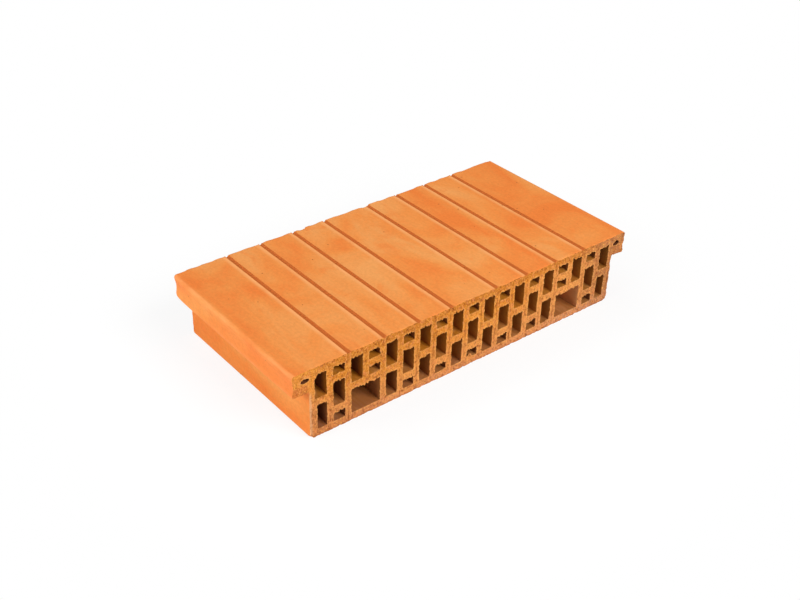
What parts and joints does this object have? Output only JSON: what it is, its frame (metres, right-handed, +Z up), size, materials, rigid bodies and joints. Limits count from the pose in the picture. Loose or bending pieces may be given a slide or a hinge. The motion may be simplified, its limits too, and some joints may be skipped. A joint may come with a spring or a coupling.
{
  "type": "floor infill block",
  "caption": "Hollow fired-clay floor infill block: flat slab with a nib along each side that rests on a floor beam, through cells in its cut ends and shallow grooves on top.",
  "frame": {"origin": "middle of the flat base, halfway along the block", "axes": "+X across the block from nib to nib, +Y along the extrusion and the cells, +Z up"},
  "size_m": [0.504, 0.25, 0.093],
  "materials": {
    "fired_clay": "matte, unglazed fired clay: smooth die-drawn faces, rough wire-cut ends"
  },
  "bodies": {
    "root": {"infill_block": "fired_clay"}
  },
  "joints": []
}
